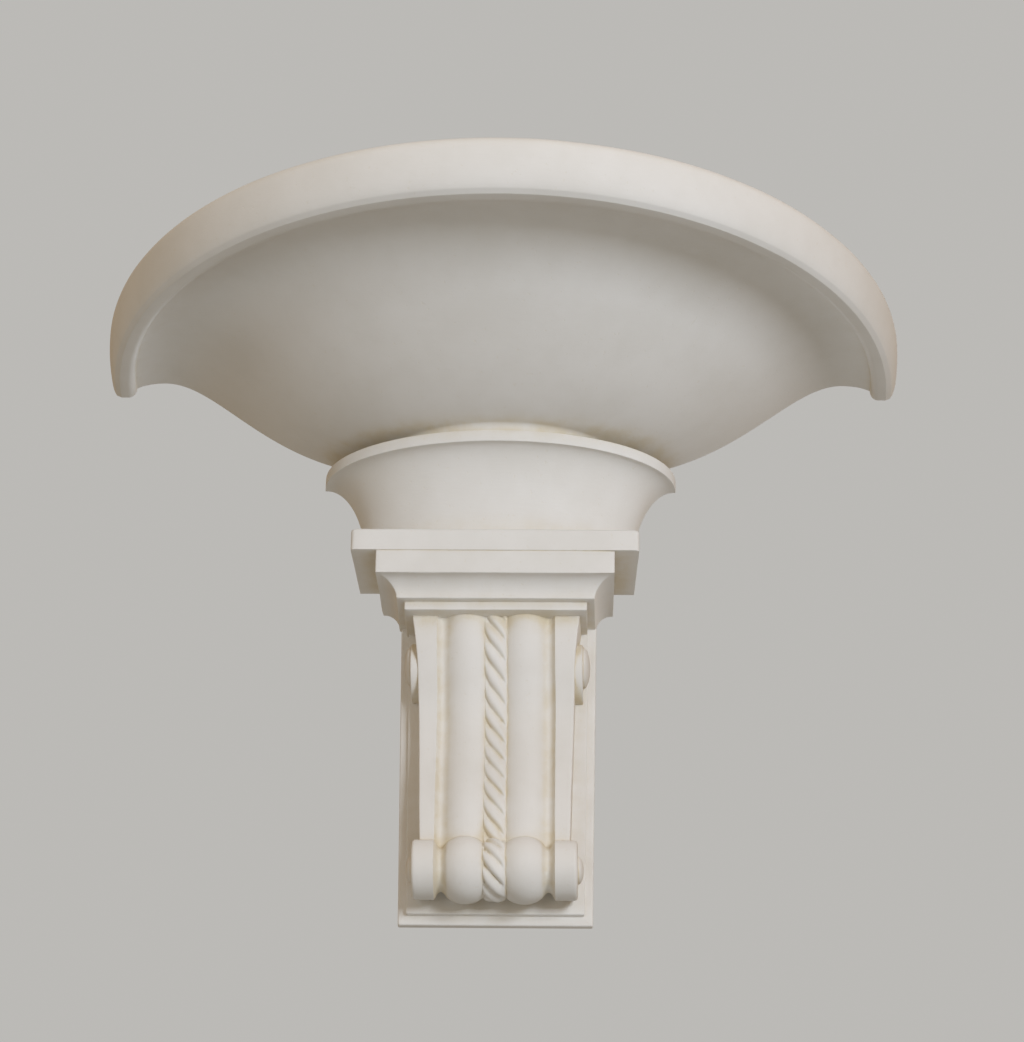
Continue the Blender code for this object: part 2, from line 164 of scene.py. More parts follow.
def cast_plaster(name, stretch, tone=1.0, crease_and_shade_amount=1.0, brush=1.0):
    """Painted cast plaster: mottled off-white, creamy paint gathered in the creases and darkened there as
    painted shade, fine brush marks and pores.

    stretch says how the brush marks run: small along the stroke, large across it. tone lightens or
    darkens the whole paint, crease_and_shade_amount sets how much creamy paint and painted shade the
    creases hold, brush how deep the marks are.
    """
    finish = Finish(name)
    place = finish.node("ShaderNodeTexCoord", {}, {}).outputs["Object"]
    stroke = finish.node("ShaderNodeMapping", {}, {"Vector": place, "Scale": stretch}).outputs["Vector"]
    clouds = finish.grain(place, cloud_size, 3.0)
    blotches = finish.grain(place, blotch_size, 4.0, 0.6)
    strokes = finish.grain(stroke, stroke_size, 3.0, 0.6)
    tooth = finish.grain(place, tooth_size, 2.0, 0.6)
    pits = finish.rise(finish.grain(place, pit_size, 1.0), *pit_span)

    white = tuple(tone * part for part in chalk_white) + (1.0,)
    grey = tuple(tone * part for part in shell_grey) + (1.0,)
    cream_and_shade_tint = tuple(tone * part for part in cream_paint_and_shade) + (1.0,)
    worn = finish.rise(clouds * 0.7 + blotches * 0.3, *wear_span)
    colour = finish.blend(worn * most_wear + strokes * 0.10, white, grey)
    # Creases and recesses found by ambient occlusion turn cream and darker: partly paint gathered there,
    # partly painted shade.
    openness = finish.reading("ShaderNodeAmbientOcclusion", {"samples": 12, "only_local": False},
                              {"Distance": crease_reach}, "AO")
    deep = finish.rise(1.0 - openness, *crease_span)
    patchy = finish.rise(blotches, *patch_span) * 0.55 + 0.45
    crease_cream_and_shade = deep * patchy * (most_cream_and_shade * crease_and_shade_amount)
    colour = finish.blend(crease_cream_and_shade + pits * most_stain, colour, cream_and_shade_tint)
    finish.feed(finish.shader.inputs["Base Color"], colour)
    finish.feed(finish.shader.inputs["Roughness"], 0.58 + 0.16 * strokes + 0.10 * blotches)
    finish.shader.inputs["Specular IOR Level"].default_value = 0.32

    height = strokes * stroke_relief * brush + tooth * tooth_relief + blotches * blotch_relief
    height = (height - pits * pit_relief) * mm
    bump = finish.node("ShaderNodeBump", {}, {"Strength": 0.9, "Distance": 1.0, "Height": height})
    finish.feed(finish.shader.inputs["Normal"], bump.outputs["Normal"])
    return finish.material


def arc(centre, radii, start, end, steps):
    """Points on an ellipse from one angle to another, in degrees."""
    angles = [math.radians(start + (end - start) * step / steps) for step in range(steps + 1)]
    return [(centre[0] + radii[0] * math.cos(a), centre[1] + radii[1] * math.sin(a)) for a in angles]


def stacked(outlines):
    """One closed shape from a stack of closed outlines that all have as many points."""
    bm = bmesh.new()
    face = bm.faces.new([bm.verts.new(point) for point in outlines[0]])
    for outline in outlines[1:]:
        face = bmesh.ops.extrude_discrete_faces(bm, faces=[face])["faces"][0]
        for vert, point in zip(face.verts, outline):
            vert.co = point
    bmesh.ops.contextual_create(bm, geom=[edge for edge in bm.edges if edge.is_boundary])
    return bm


wall_fade = 4 * mm
fine_spread = 0.37


def hand_worked(bm, swell, spread):
    """Takes the machine look off a shape: slow swells of the rubbed-down surface, none at the wall."""
    bm.normal_update()
    moves = {}
    for vert in bm.verts:
        near_wall = min(max(-vert.co.y / wall_fade, 0.0), 1.0)
        lift = noise.noise(vert.co / spread) + 0.5 * noise.noise(vert.co / (spread * fine_spread))
        moves[vert] = vert.normal * (swell * lift * near_wall)
    for vert, move in moves.items():
        vert.co += move


def set_askew(bm, shift, by_height=0.0, by_depth=0.0, twist=0.0):
    """Sets a piece as the hand-made one sits, a millimetre or so off the middle and out of plumb."""
    for vert in bm.verts:
        vert.co.x += shift + by_height * vert.co.z + (by_depth + twist * vert.co.z) * vert.co.y


def plaster_piece(name, bm, node, material, sharp=32.0):
    """Makes a shape a piece of the casting that the CAD model holds in this node."""
    bmesh.ops.remove_doubles(bm, verts=bm.verts[:], dist=weld)
    bmesh.ops.recalc_face_normals(bm, faces=bm.faces[:])
    mesh = bpy.data.meshes.new(name)
    bm.to_mesh(mesh)
    bm.free()
    mesh.shade_smooth()
    mesh.set_sharp_from_angle(angle=math.radians(sharp))
    mesh.materials.append(material)
    piece = bpy.data.objects.new(name, mesh)
    bpy.context.scene.collection.objects.link(piece)
    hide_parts(node)
    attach(piece, "root")


def plate_outline(depth, inset, foot_inset, head):
    """The plate's tapered outline at one depth, drawn in by an inset, with small round corners."""
    corner = plate_round
    low = plate_foot + foot_inset
    points = []
    for side, level, turn in ((1, low, 270.0), (1, head, 0.0), (-1, head, 90.0), (-1, low, 180.0)):
        share = (level - plate_foot) / (plate_head - plate_foot)
        half = plate_foot_half + (plate_head_half - plate_foot_half) * share - inset
        centre = (side * (half - corner), level + (corner if level == low else -corner))
        points += [Vector((x, -depth, z)) for x, z in arc(centre, (corner, corner), turn, turn + 90.0, 3)]
    return points


plate_lap = 2.0 * mm
plate_back = 0.08 * mm
plate_steps = [(plate_back, 0.0)]
plate_steps += [(plate_depth - plate_round + rise, plate_round - run)
                for run, rise in arc((0, 0), (plate_round, plate_round), 0.0, 90.0, 4)]
plate_outlines = [plate_outline(depth, inset, inset, plate_head + plate_lap) for depth, inset in plate_steps]
panel_round = plate_round / 2
panel_steps = [(plate_depth, 0.0)]
panel_steps += [(plate_depth + panel_rise - panel_round + rise, panel_round - run)
                for run, rise in arc((0, 0), (panel_round, panel_round), 0.0, 90.0, 3)]
panel_head = soffit + fillet_height / 2
plate_outlines += [plate_outline(depth, panel_margin + inset, panel_foot_margin + inset, panel_head)
                   for depth, inset in panel_steps]
wall_plate = stacked(plate_outlines)
plate_shift = 0.7 * mm
plate_lean = -0.004
set_askew(wall_plate, plate_shift, by_height=plate_lean)
along_the_shaft = (1.0, 1.0, 0.12)
along_the_wall = (0.10, 1.0, 1.0)
plate_plaster = cast_plaster("plate_plaster", along_the_shaft, crease_and_shade_amount=0.25)
plaster_piece("wall_plate", wall_plate, "corbel", plate_plaster)

# The cornice over the shaft: fillet, hollow moulding and fascia, returned to the wall at both ends.
# One casting with the corbel; its long edges run a little uneven where the mould was cleaned up.

fascia_half = corbel_high.x
fascia_depth = -corbel_low.y
fascia_top = corbel_high.z
fascia_height = 18.2 * mm
hollow_run = 14.1 * mm
hollow_step = 1.0 * mm
fillet_inset = 5.8 * mm
edge_round = 0.9 * mm
cornice_draw = 2.3 * mm
bed_joint = 0.2 * mm
cornice_foot_bed = 10 * mm
cornice_head_bed = 6 * mm


def even_steps(start, end, count):
    """Points from start up to but not including end."""
    return [start.lerp(end, step / count) for step in range(count)]


return_steps = 10
front_steps = 44
back_steps = 6


def three_sided(half, depth, height, corner, draw):
    """A level outline: left return, front and right return with round corners, and the wall line.

    The returns draw in by draw on their way back to the wall.
    """
    left_round = arc((corner - half, corner - depth), (corner, corner), 180.0, 270.0, 4)
    right_round = arc((half - corner, corner - depth), (corner, corner), 270.0, 360.0, 4)
    left = [Vector((x, y, height)) for x, y in left_round]
    right = [Vector((x, y, height)) for x, y in right_round]
    wall_left = Vector((draw - half, 0.0, height))
    wall_right = Vector((half - draw, 0.0, height))
    points = even_steps(wall_left, left[0], return_steps)
    points += left[:-1] + even_steps(left[-1], right[0], front_steps)
    points += right[:-1] + even_steps(right[-1], wall_right, return_steps)
    return points + even_steps(wall_right, wall_left, back_steps)


most_rounding = 0.45


def softened(profile, rounding, steps=3):
    """Rounds the corners of a profile of (run, height) points that are marked to be rounded."""
    points = []
    for index, (run, height, soft) in enumerate(profile):
        here = Vector((run, height))
        if not soft:
            points.append(here)
            continue
        before = Vector(profile[index - 1][:2]) - here
        after = Vector(profile[index + 1][:2]) - here
        reach = min(rounding * soft, before.length * most_rounding, after.length * most_rounding)
        start = here + before.normalized() * reach
        end = here + after.normalized() * reach
        for step in range(steps + 1):
            t = step / steps
            points.append(start * (1 - t) ** 2 + here * 2 * t * (1 - t) + end * t * t)
    return points


hollow_top = fascia_top - fascia_height
hollow_foot_inset = hollow_step + hollow_run
fillet_in = hollow_foot_inset + fillet_inset
cornice_profile = [(fillet_in + cornice_foot_bed, soffit, 0), (fillet_in, soffit, 1),
                   (fillet_in, plate_head, 0.6), (hollow_foot_inset, plate_head, 0.8)]
hollow_curve = arc((hollow_run, plate_head), (hollow_run, hollow_top - plate_head), 180.0, 90.0, 14)
cornice_profile += [(hollow_foot_inset - run, height, 0) for run, height in hollow_curve[1:-1]]
cornice_profile += [(hollow_step, hollow_top, 0.5), (0.0, hollow_top, 1),
                    (0.0, fascia_top - fascia_height / 2, 0), (0.0, fascia_top + bed_joint, 0.25),
                    (cornice_head_bed, fascia_top + bed_joint, 0)]
cornice = stacked([three_sided(fascia_half - inset, fascia_depth - inset, height, edge_round,
                               cornice_draw * max(0.0, 1 - inset / hollow_foot_inset))
                   for inset, height in softened(cornice_profile, edge_round)])
hand_worked(cornice, swell=0.55 * mm, spread=52 * mm)
cornice_shift = -0.75 * mm
cornice_turn = 0.0125
set_askew(cornice, cornice_shift, by_depth=cornice_turn)
cornice_plaster = cast_plaster("cornice_plaster", along_the_wall, crease_and_shade_amount=0.6)
plaster_piece("cornice", cornice, "corbel", cornice_plaster)

# The shaft: two plump ribs between coves, bevels and flat bands, swept in a slow S down the front.
# Cast with the plate and cornice; paint has gathered in its coves, and its material darkens them further as
# painted shade.

shaft_head_half = 62.2 * mm
shaft_neck_half = 58.1 * mm
shaft_foot_half = 54.6 * mm
flare_height = 40.0 * mm
flare_curve = 1.5
head_depth = 43.0 * mm
waist_depth = 28.5 * mm
foot_depth = 42.0 * mm
head_drop = 14.2 * mm
waist_drop = 80.5 * mm
foot_drop = 170.0 * mm
roll_drop = 201.7 * mm
taper_drop = 180.2 * mm
rope_half = 8.2 * mm
rope_bed = 1.8 * mm
rib_centre = 21.4 * mm
rib_radius = 20.5 * mm
rib_half = 13.0 * mm
rib_rise = 3.0 * mm
cove_centre = 39.0 * mm
shaft_cove = 4.2 * mm
bevel_foot = 41.5 * mm
bevel_share = 0.72
band_inner = 43.8 * mm
band_edge = 1.0 * mm
corbel_plaster = cast_plaster("corbel_plaster", along_the_shaft)


def ease(share):
    return (1 - math.cos(math.pi * min(max(share, 0.0), 1.0))) / 2


def band_depth(drop):
    """How far the flat bands stand from the wall: out at the head, in at the waist, out at the foot."""
    if drop < waist_drop:
        share = ease((drop - head_drop) / (waist_drop - head_drop))
        return head_depth + (waist_depth - head_depth) * share - rib_rise
    share = ease((drop - waist_drop) / (foot_drop - waist_drop))
    return waist_depth + (foot_depth - waist_depth) * share - rib_rise


def shaft_half(drop):
    taper = (shaft_neck_half - shaft_foot_half) / (taper_drop - flare_height)
    flare = shaft_head_half - shaft_neck_half - taper * flare_height
    share = min(max(1 - drop / flare_height, 0.0), 1.0)
    return shaft_neck_half - taper * (drop - flare_height) + flare * share ** flare_curve


def moulding(across, cove_depth):
    """Relief across the shaft, measured from its flat bands: rib, cove, bevel and band."""
    across = abs(across)
    rib_foot = rib_rise - rib_radius + math.sqrt(rib_radius ** 2 - rib_half ** 2)
    if across < rib_centre - rib_half:
        return -rope_bed
    if across < rib_centre + rib_half:
        return rib_rise - rib_radius + math.sqrt(rib_radius ** 2 - (across - rib_centre) ** 2)
    if across < cove_centre:
        share = (across - rib_centre - rib_half) / (cove_centre - rib_centre - rib_half)
        return rib_foot - (cove_depth + rib_foot) * math.sin(share * math.pi / 2)
    if across < bevel_foot:
        share = (across - cove_centre) / (bevel_foot - cove_centre)
        return -cove_depth * (1 - (1 - bevel_share) * (1 - math.cos(share * math.pi / 2)))
    if across < band_inner:
        return -bevel_share * cove_depth * (band_inner - across) / (band_inner - bevel_foot)
    return 0.0


def evenly(start, end, count):
    return [start + (end - start) * step / count for step in range(count + 1)]


before_arris = 0.4 * mm
past_arris = 0.6 * mm
half_places = evenly(rope_half, rib_centre - rib_half, 1)[:-1]
half_places += evenly(rib_centre - rib_half, rib_centre + rib_half, 22)
half_places += evenly(rib_centre + rib_half, cove_centre, 7)[1:]
half_places += evenly(cove_centre, bevel_foot, 5)[1:]
half_places += evenly(bevel_foot, band_inner - before_arris, 2)[1:]
half_places += evenly(band_inner, band_inner + past_arris, 2)


def relief_sheet(columns, rows, place, back):
    """A grid of columns by rows, each point set by place(column, row), closed flat at the back."""
    bm = bmesh.new()
    bmesh.ops.create_grid(bm, x_segments=columns - 1, y_segments=rows - 1, size=0.5)
    for vert in bm.verts:
        column = round((vert.co.x + 0.5) * (columns - 1))
        row = round((0.5 - vert.co.y) * (rows - 1))
        vert.co = place(column, row)
    lifted = bmesh.ops.extrude_face_region(bm, geom=bm.faces[:], use_keep_orig=True)["geom"]
    for item in lifted:
        if isinstance(item, bmesh.types.BMVert):
            item.co.y = -back
    return bm


band_places = (0.25, 0.5, 0.75)
shaft_rows = 150
shaft_top = -fillet_height / 2
inner_places = [-place for place in reversed(half_places)] + half_places
edge_turn = arc((0, 0), (band_edge, band_edge), 90.0, 0.0, 4)


def shaft_place(column, row):
    """The shaft's surface: left side, left band, mouldings, right band, right side."""
    drop = shaft_top + (roll_drop - shaft_top) * row / (shaft_rows - 1)
    half = shaft_half(drop)
    run_in = len(edge_turn) + len(band_places)
    mirrored = column >= run_in + len(inner_places)
    if mirrored:
        column = 2 * run_in + len(inner_places) - 1 - column
    if column < len(edge_turn):
        out, up = edge_turn[len(edge_turn) - 1 - column]
        x = -(half - band_edge + out)
        rise = up - band_edge
    elif column < run_in:
        share = band_places[column - len(edge_turn)]
        x = -(half - band_edge) + (half - band_edge - band_inner) * share
        rise = 0.0
    else:
        x = inner_places[column - run_in]
        rise = moulding(x, shaft_cove)
    if mirrored:
        x = -x
    return Vector((x, -(band_depth(drop) + rise), soffit - drop))


shaft_columns = 2 * (len(edge_turn) + len(band_places)) + len(inner_places)
shaft = relief_sheet(shaft_columns, shaft_rows, shaft_place, plate_depth + panel_rise / 2)
hand_worked(shaft, swell=0.22 * mm, spread=34 * mm)
shaft_askew = {"shift": 0.7 * mm, "by_height": -0.004, "by_depth": 0.020, "twist": 0.14}
set_askew(shaft, **shaft_askew)
plaster_piece("shaft", shaft, "corbel", corbel_plaster, sharp=50.0)

# The rope down the middle of the shaft: plump leaf-like strands laid on a slant.
# Cast with the shaft; its grooves were cut sharper by hand before painting.

rope_rise = 1.7 * mm
rope_round = 0.6
strand_pitch = 15.8 * mm
strand_groove = 2.9 * mm
strand_slant = 1.27
strand_hook = 0.12
strand_skew = 1.6
strand_plump = 0.62
strand_bulge = 0.07
strand_start = 16.4 * mm
groove_end = 0.95
groove_fade = 0.45
groove_lead = 0.12


def strand_height(share, run):
    """How high a strand stands, 0 in the grooves and 1 at its back: a slow rise and a steep fall."""
    across = (share + 1) / 2
    turn = (run - strand_start) / strand_pitch - strand_slant * across + strand_hook * (1 - across) ** 10
    place = turn - math.floor(turn)
    return math.sin(math.pi * place ** strand_skew) ** strand_plump


def rope_relief(across, run):
    """Relief of the rope at a place across it and a run along it; its grooves fade to the right."""
    share = min(max(across / rope_half, -1.0), 1.0)
    body = (rope_bed + rope_rise) * (1 - share * share) ** rope_round
    fade = min(max((groove_end - share) / groove_fade, 0.0), 1.0)
    lead = min((1 + share) / groove_lead, 1.0)
    return -rope_bed + body - strand_groove * (1 - strand_height(share, run)) * fade * lead


def rope_across(across, run):
    """The strands swell a little past the rope's straight edges."""
    share = across / rope_half
    return across * (1 + strand_bulge * (strand_height(share, run) - 0.5) * abs(share))


rope_columns = 33
rope_places = [rope_half * math.sin(math.pi * (step / (rope_columns - 1) - 0.5))
               for step in range(rope_columns)]
rope_top = -fillet_height / 3
rope_rows = 420


def rope_place(column, row):
    drop = rope_top + (roll_drop - rope_top) * row / (rope_rows - 1)
    x = rope_places[column]
    return Vector((rope_across(x, drop), -(band_depth(drop) + rope_relief(x, drop)), soffit - drop))


rope = relief_sheet(rope_columns, rope_rows, rope_place, waist_depth / 2)
set_askew(rope, **shaft_askew)
plaster_piece("rope", rope, "corbel", corbel_plaster, sharp=60.0)

# The roll at the foot: the shaft's mouldings turned round a cross axis, with a boss at each end.
# The rope runs on round it, and the ribs swell there into two balls.

roll_radius = 21.8 * mm
roll_half = 60.1 * mm
roll_depth = 30.0 * mm
roll_edge = 2.8 * mm
roll_cove = 5.8 * mm
boss_radius = 10.2 * mm
boss_rise = 4.2 * mm


def turned_across(profile, steps):
    """Turns a profile of (place across, radius) round an axis that runs from side to side."""
    bm = bmesh.new()
    verts = [bm.verts.new((place, -radius, 0.0)) for place, radius in profile]
    edges = [bm.edges.new(pair) for pair in zip(verts, verts[1:])]
    bmesh.ops.spin(bm, geom=verts + edges, cent=(0, 0, 0), axis=(1, 0, 0), angle=2 * math.pi,
                   steps=steps, use_merge=True)
    bmesh.ops.remove_doubles(bm, verts=bm.verts[:], dist=weld)
    return bm


def round_rim(half, radius, rounding, steps=5):
    return arc((half - rounding, radius - rounding), (rounding, rounding), 90.0, 0.0, steps)


roll_side = [(place, roll_radius + moulding(place, roll_cove)) for place in half_places]
roll_side += [(place, roll_radius) for place in evenly(band_inner, roll_half - roll_edge, 4)[1:-1]]
roll_side += round_rim(roll_half, roll_radius, roll_edge)
roll_side += [(roll_half, radius) for radius in evenly(roll_radius - roll_edge, boss_radius, 6)[1:]]
boss_curve = arc((0, 0), (boss_rise, boss_radius), 90.0, 0.0, 12)
roll_side += [(roll_half + out, radius) for out, radius in boss_curve[1:]]
roll_middle = [(place, roll_radius - rope_bed) for place in rope_places[1:-1]]
roll_profile = [(-place, radius) for place, radius in reversed(roll_side)] + roll_middle + roll_side
roll = turned_across(roll_profile, 144)
for vert in roll.verts:
    if abs(vert.co.x) < rope_half - weld:
        around = math.atan2(-vert.co.z, -vert.co.y)
        run = roll_drop + around * (roll_radius + rope_rise)
        reach = roll_radius + rope_relief(vert.co.x, run)
        vert.co.x = rope_across(vert.co.x, run)
        vert.co.y = -reach * math.cos(around)
        vert.co.z = -reach * math.sin(around)
bmesh.ops.translate(roll, verts=roll.verts[:], vec=(0, -roll_depth, soffit - roll_drop))
hand_worked(roll, swell=0.22 * mm, spread=30 * mm)
set_askew(roll, **shaft_askew)
plaster_piece("roll", roll, "corbel", corbel_plaster, sharp=60.0)

# The volutes: a disc with a domed eye on each side of the shaft's head, standing just proud of it.
# Cast with the shaft; a shallow spiral is cut into the face round the eye.

volute_radius = 23.0 * mm
volute_half = 63.8 * mm
volute_depth = 11.5 * mm
volute_drop = 35.2 * mm
volute_edge = 1.2 * mm
eye_radius = 15.5 * mm
eye_rise = 5.2 * mm
eye_forward = 4.0 * mm
eye_up = 4.3 * mm
spiral_groove = 0.9 * mm
spiral_middle = 0.5
spiral_climb = 0.35
spiral_width = 0.16

volute_start = (band_inner + shaft_foot_half) / 2
volute_profile = [(volute_start, 0.0), (volute_start, volute_radius)]
volute_profile += round_rim(volute_half, volute_radius, volute_edge)
volute_face = evenly(volute_radius - volute_edge, eye_radius, 10)
volute_profile += [(volute_half, radius) for radius in volute_face[1:]]
eye_curve = arc((0, 0), (eye_rise, eye_radius), 90.0, 0.0, 14)
volute_profile += [(volute_half + out, radius) for out, radius in eye_curve[1:]]
for side in (-1, 1):
    volute = turned_across([(side * place, radius) for place, radius in volute_profile], 96)
    for vert in volute.verts:
        if abs(vert.co.x) < volute_half - weld:
            continue
        radius = math.hypot(vert.co.y, vert.co.z)
        share = max((radius - eye_radius) / (volute_radius - volute_edge - eye_radius), 0.0)
        if share > 0.0:
            turn = math.atan2(vert.co.z, -vert.co.y) / (2 * math.pi)
            cut = math.exp(-((share - spiral_middle - spiral_climb * turn) / spiral_width) ** 2)
            vert.co.x -= side * spiral_groove * cut
        vert.co.y -= eye_forward * (1 - share)
        vert.co.z += eye_up * (1 - share)
    bmesh.ops.translate(volute, verts=volute.verts[:], vec=(0, -volute_depth, soffit - volute_drop))
    bmesh.ops.bisect_plane(volute, geom=volute.verts[:] + volute.edges[:] + volute.faces[:],
                           plane_co=(0, -plate_depth / 2, 0), plane_no=(0, 1, 0), clear_outer=True)
    bmesh.ops.contextual_create(volute, geom=[edge for edge in volute.edges if edge.is_boundary])
    set_askew(volute, **shaft_askew)
    piece_name = "volute_right" if side > 0 else "volute_left"
    plaster_piece(piece_name, volute, "corbel", corbel_plaster, sharp=60.0)

# The slab: a plain block with soft edges that carries the collar.
# Cast by itself and bedded on the corbel, almost flush with its fascia.

slab_low, slab_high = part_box("slab")
slab_round = 3.0 * mm
slab_foot_round = 0.2 * mm
slab_draw = 3.8 * mm
slab_spare = 0.6 * mm
slab_shift = -1.8 * mm
slab_turn = 0.004
slab_bed = 8 * mm
slab_half = slab_high.x + slab_spare
slab_profile = [(slab_bed, slab_low.z)]
slab_profile += [(slab_foot_round - run, slab_low.z + slab_foot_round + rise)
                 for run, rise in arc((0, 0), (slab_foot_round, slab_foot_round), 270.0, 360.0, 3)]
slab_side = evenly(slab_low.z + slab_foot_round, slab_high.z - slab_round, 5)
slab_profile += [(0.0, height) for height in slab_side[1:-1]]
slab_profile += [(slab_round - run, slab_high.z - slab_round + rise)
                 for run, rise in arc((0, 0), (slab_round, slab_round), 0.0, 90.0, 5)]
slab_profile += [(slab_bed, slab_high.z)]
slab = stacked([three_sided(slab_half - inset, -slab_low.y - inset, height, slab_round, slab_draw)
                for inset, height in slab_profile])
hand_worked(slab, swell=0.25 * mm, spread=55 * mm)
set_askew(slab, slab_shift, by_depth=slab_turn)
slab_plaster = cast_plaster("slab_plaster", along_the_wall, crease_and_shade_amount=0.8)
plaster_piece("slab", slab, "slab", slab_plaster)

# The collar: half an oval in plan, a deep hollow under a thin square lip.
# Turned as a model, then cast; it stands on the slab and the bowl stands on it.

collar_low, collar_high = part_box("collar")
collar_spare = 1.2 * mm
collar_half = collar_high.x + collar_spare
collar_lip = 9.4 * mm
collar_soffit = 1.4 * mm
collar_run = 31.6 * mm
collar_front_run = 0.85
lip_round = 1.1 * mm
collar_shift = -0.6 * mm
collar_foot_bed = 12 * mm
collar_head_bed = 6 * mm
half_round_steps = 150


def half_oval(half, depth, height):
    """Half an oval outline in front of the wall, closed by a straight line at the back."""
    points = []
    for step in range(half_round_steps + 1):
        angle = math.pi * step / half_round_steps
        points.append(Vector((-half * math.cos(angle), -depth * math.sin(angle), height)))
    points[0].y = points[-1].y = 0.0
    return points + even_steps(points[-1], points[0], 12)[1:]


lip_base = collar_high.z - collar_lip
collar_foot = collar_half - collar_soffit - collar_run
collar_profile = [(collar_foot - collar_foot_bed, collar_low.z, 0)]
collar_curve = arc((collar_foot + collar_run, collar_low.z), (collar_run, lip_base - collar_low.z),
                   180.0, 90.0, 34)
collar_profile += [(half, height, 0) for half, height in collar_curve]
collar_profile += [(collar_half, lip_base, 0.8), (collar_half, lip_base + collar_lip / 2, 0),
                   (collar_half, collar_high.z, 1), (collar_half - collar_head_bed, collar_high.z, 0)]
collar = stacked([half_oval(half, -collar_low.y - collar_front_run * (collar_half - half), height)
                  for half, height in softened(collar_profile, lip_round, 4)])
hand_worked(collar, swell=0.30 * mm, spread=70 * mm)
set_askew(collar, collar_shift)
collar_plaster = cast_plaster("collar_plaster", along_the_wall, crease_and_shade_amount=0.5)
plaster_piece("collar", collar, "collar", collar_plaster)

# The bowl: half round in plan, with a rolled rim, a drip lip and a slow cove down to a small foot.
# A hollow casting, open above and closed by a flat back wall; brushed along its curve.

bowl_low, bowl_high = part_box("half_bowl")
bowl_half = bowl_high.x
bowl_base = bowl_low.z
bowl_top = bowl_high.z
bowl_wall = 16.0 * mm
bowl_floor = 21.0 * mm
bowl_back = 14.0 * mm
rim_height = 48.2 * mm
rim_round = 15.8 * mm
rim_bulge = 8.8 * mm
rim_thickness = 25.9 * mm
rim_inner_drop = 5.5 * mm
lip_flat = 6.5 * mm
lip_rise = 9.1 * mm
lip_run = 8.0 * mm
lip_nose = 2.0 * mm
crest_inset = 42.8 * mm
crest_rise = 12.7 * mm
cove_turn = 45.0
foot_half = 98.0 * mm
foot_share = 0.805
foot_hollow = 5.5 * mm
foot_bed = 12 * mm
belly_start_pull = 82.6 * mm
belly_start_slope = 9.5
belly_end_pull = 40.0 * mm


def bezier(start, start_pull, end_pull, end, steps):
    points = []
    for step in range(steps + 1):
        t = step / steps
        weights = ((1 - t) ** 3, 3 * t * (1 - t) ** 2, 3 * t * t * (1 - t), t ** 3)
        points.append(tuple(sum(w * p[axis] for w, p in zip(weights, (start, start_pull, end_pull, end)))
                            for axis in (0, 1)))
    return points


def bowl_depth(half):
    """Half round at the rim, flattening evenly to the foot."""
    share = min(max((half - foot_half) / (bowl_half - foot_half), 0.0), 1.0)
    return half * (foot_share + (1 - foot_share) * share)


rim_base = bowl_top - rim_height
widest = bowl_top - rim_round
lip_outer = bowl_half - rim_bulge
lip_inner = lip_outer - lip_flat
belly_start = (foot_half + foot_hollow, bowl_base + foot_hollow)
belly_end = (bowl_half - crest_inset, rim_base + crest_rise)
slope = math.radians(belly_start_slope)
start_pull = (belly_start[0] + belly_start_pull * math.cos(slope),
              belly_start[1] + belly_start_pull * math.sin(slope))
belly = bezier(belly_start, start_pull, (belly_end[0] - belly_end_pull, belly_end[1]), belly_end, 44)
step_point = (lip_inner - lip_run, rim_base + lip_rise)
turn = math.radians(cove_turn)
cove_radii = ((step_point[0] - belly_end[0]) / math.cos(turn),
              (belly_end[1] - step_point[1]) / (1 - math.sin(turn)))
nose = step_point[1] - lip_nose / 2
inner_top = bowl_top - rim_inner_drop
bowl_profile = [(foot_half - foot_bed, bowl_base)]
bowl_profile += arc((foot_half + foot_hollow, bowl_base), (foot_hollow, foot_hollow), 180.0, 90.0, 8)
bowl_profile += belly[1:]
bowl_profile += arc((belly_end[0], belly_end[1] - cove_radii[1]), cove_radii, 90.0, cove_turn, 8)[1:]
bowl_profile += arc((lip_inner, nose), (lip_run - lip_nose, nose - rim_base), 180.0, 270.0, 8)
lip_corner = 0.8 * mm
bowl_profile += arc((lip_outer - lip_corner, rim_base + lip_corner), (lip_corner, lip_corner),
                    270.0, 330.0, 3)
rim_face = arc((lip_outer, widest), (rim_bulge, widest - rim_base), 270.0, 360.0, 20)
bowl_profile += [point for point in rim_face if point[1] > rim_base + lip_corner * 1.5]
bowl_profile += arc((bowl_half - rim_round, widest), (rim_round, rim_round), 0.0, 90.0, 14)[1:]
inner_round = (rim_thickness - rim_round, rim_inner_drop)
bowl_profile += arc((bowl_half - rim_round, inner_top), inner_round, 90.0, 180.0, 8)[1:]

inside = []
for before, here, after in zip(belly, belly[1:], belly[2:]):
    along = Vector((after[0] - before[0], after[1] - before[1])).normalized()
    inside.append((here[0] - along.y * bowl_wall, here[1] + along.x * bowl_wall))
floor_height = bowl_base + bowl_floor
inside = [point for point in inside if point[1] > floor_height + bowl_wall / 8]
inner_edge = bowl_half - rim_thickness
belly_top, belly_height = inside[-1]
climb = arc((belly_top, inner_top), (inner_edge - belly_top, inner_top - belly_height), 270.0, 360.0, 16)
cavity_profile = list(reversed([(foot_half, floor_height)] + inside + climb[1:]))
outer_rows = len(bowl_profile)
bowl_rows = [(half, height, 0.0) for half, height in bowl_profile]
bowl_rows += [(half, height, bowl_back) for half, height in cavity_profile]


def bowl_place(column, row):
    """A point of the bowl's skin: columns run round it, rows up the outside and down the inside."""
    half, height, back = bowl_rows[row]
    depth = bowl_depth(half)
    start = math.asin(min(back / depth, 1.0))
    angle = start + (math.pi - 2 * start) * column / half_round_steps
    return Vector((-half * math.cos(angle), -depth * math.sin(angle), height))


